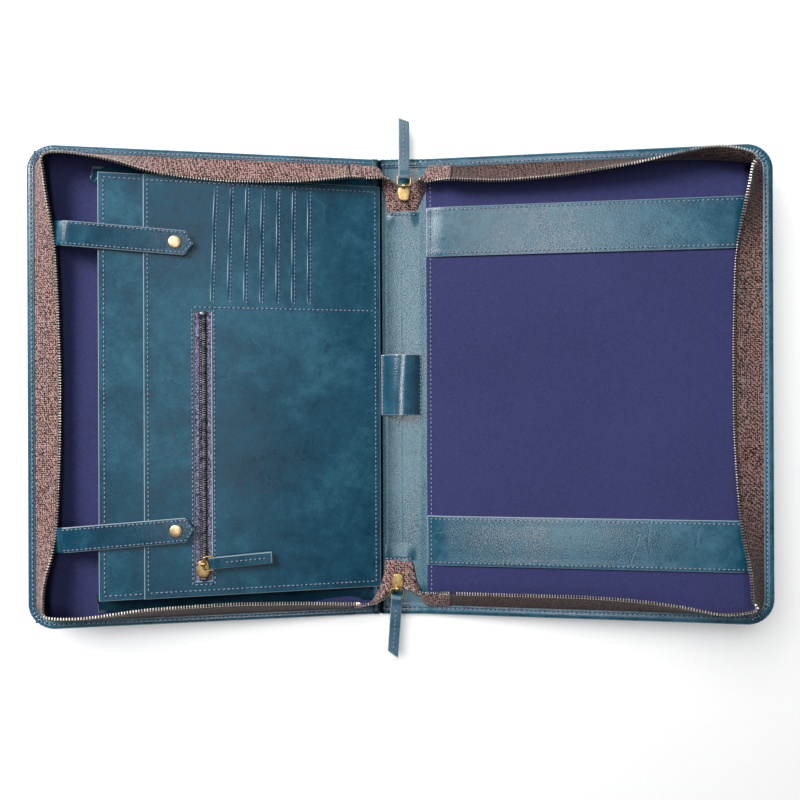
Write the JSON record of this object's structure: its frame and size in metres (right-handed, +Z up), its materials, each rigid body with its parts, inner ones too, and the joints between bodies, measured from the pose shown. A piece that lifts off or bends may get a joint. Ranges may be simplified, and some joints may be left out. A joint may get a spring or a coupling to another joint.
{
  "type": "portfolio case",
  "caption": "Zip-round leather portfolio case lying open, with a file pocket, card slots, inner zip pocket, snap straps, pen loop and pad bands.",
  "frame": {"origin": "middle of the spine's flat underside", "axes": "+X to the right cover, +Y to the top edge along the spine, +Z up out of the open case"},
  "size_m": [0.5318, 0.4002, 0.0504],
  "materials": {
    "case_leather": "waxed teal-blue leather with a soft sheen",
    "pocket_leather": "waxed dark teal leather, creased",
    "lining_cloth": "navy woven lining",
    "stiffener_board": "grey pressed fibre board",
    "zip_tape": "brown woven tape",
    "inner_zip_tape": "navy woven tape",
    "zip_metal": "antique brass teeth",
    "dark_metal": "blackened metal teeth",
    "slider_brass": "polished old gold",
    "snap_brass": "polished pale brass"
  },
  "bodies": {
    "spine": {"spine_outer_leather": "case_leather", "spine_board": "stiffener_board", "spine_inner_leather": "case_leather", "pen_loop": "case_leather", "top_zip_end_tape": "zip_tape", "bottom_zip_end_tape": "zip_tape"},
    "left_cover": {"left_outer_leather": "case_leather", "left_board": "stiffener_board", "left_lining": "lining_cloth", "left_zip_tape": "zip_tape", "left_zip_teeth": "zip_metal", "file_pocket_panel": "pocket_leather", "upper_pocket_gusset": "pocket_leather", "lower_pocket_gusset": "pocket_leather", "organizer_panel": "pocket_leather", "card_slot_1": "pocket_leather", "card_slot_2": "pocket_leather", "card_slot_3": "pocket_leather", "card_slot_4": "pocket_leather", "card_slot_5": "pocket_leather", "card_slot_6": "pocket_leather", "card_slot_7": "pocket_leather", "inner_zip_tape": "inner_zip_tape", "inner_zip_teeth": "dark_metal", "inner_zip_lower_stop": "dark_metal", "inner_zip_upper_stop": "dark_metal", "upper_strap_root": "case_leather", "lower_strap_root": "case_leather", "upper_snap_stud": "snap_brass", "lower_snap_stud": "snap_brass"},
    "upper_strap": {"upper_strap": "case_leather", "upper_snap_cap": "snap_brass"},
    "lower_strap": {"lower_strap": "case_leather", "lower_snap_cap": "snap_brass"},
    "right_cover": {"right_outer_leather": "case_leather", "right_board": "stiffener_board", "right_lining": "lining_cloth", "right_zip_tape": "zip_tape", "right_zip_teeth": "zip_metal", "upper_pad_band": "case_leather", "lower_pad_band": "case_leather"},
    "top_slider": {"top_slider_body": "slider_brass", "top_slider_crown": "slider_brass"},
    "top_pull": {"top_bail": "slider_brass", "top_pull_leather": "case_leather"},
    "bottom_slider": {"bottom_slider_body": "slider_brass", "bottom_slider_crown": "slider_brass"},
    "bottom_pull": {"bottom_bail": "slider_brass", "bottom_pull_leather": "case_leather"},
    "inner_slider": {"inner_slider_body": "slider_brass", "inner_slider_crown": "slider_brass"},
    "inner_pull": {"inner_bail": "slider_brass", "inner_pull_leather": "case_leather"}
  },
  "joints": [
    {"name": "left_cover_hinge", "type": "hinge", "parent": "spine", "child": "left_cover", "pos_m": [-0.018, 0, 0.0025], "axis": [0, -1, 0], "range_deg": [-82, 0]},
    {"name": "right_cover_hinge", "type": "hinge", "parent": "spine", "child": "right_cover", "pos_m": [0.018, 0, 0.0025], "axis": [0, 1, 0], "range_deg": [-82, 0]},
    {"name": "upper_strap_hinge", "type": "hinge", "parent": "left_cover", "child": "upper_strap", "pos_m": [-0.23973, 0.107, 0.04871], "axis": [-0.0536, -0.9985, 0.0075], "range_deg": [0, 90]},
    {"name": "lower_strap_hinge", "type": "hinge", "parent": "left_cover", "child": "lower_strap", "pos_m": [-0.23973, -0.107, 0.04871], "axis": [0.0536, -0.9985, -0.0075], "range_deg": [0, 90]},
    {"name": "top_slider_slide", "type": "slide", "parent": "spine", "child": "top_slider", "axis": [0, 1, 0], "range_m": [0, 0.008]},
    {"name": "bottom_slider_slide", "type": "slide", "parent": "spine", "child": "bottom_slider", "axis": [-0.0732, -0.9973, 0], "range_m": [0, 0.008]},
    {"name": "inner_slider_slide", "type": "slide", "parent": "left_cover", "child": "inner_slider", "axis": [0, 1, 0], "range_m": [0, 0.1755]},
    {"name": "top_pull_swing", "type": "hinge", "parent": "top_slider", "child": "top_pull", "pos_m": [0.0024, 0.1502, 0.0104], "axis": [1, 0, 0], "range_deg": [0, 165]},
    {"name": "bottom_pull_swing", "type": "hinge", "parent": "bottom_slider", "child": "bottom_pull", "pos_m": [-0.00374, -0.15139, 0.0104], "axis": [-0.9973, 0.0732, 0], "range_deg": [0, 165]},
    {"name": "inner_pull_swing", "type": "hinge", "parent": "inner_slider", "child": "inner_pull", "pos_m": [-0.14236, -0.1268, 0.0346], "axis": [0.0513, -0.9986, -0.0103], "range_deg": [0, 165]}
  ]
}
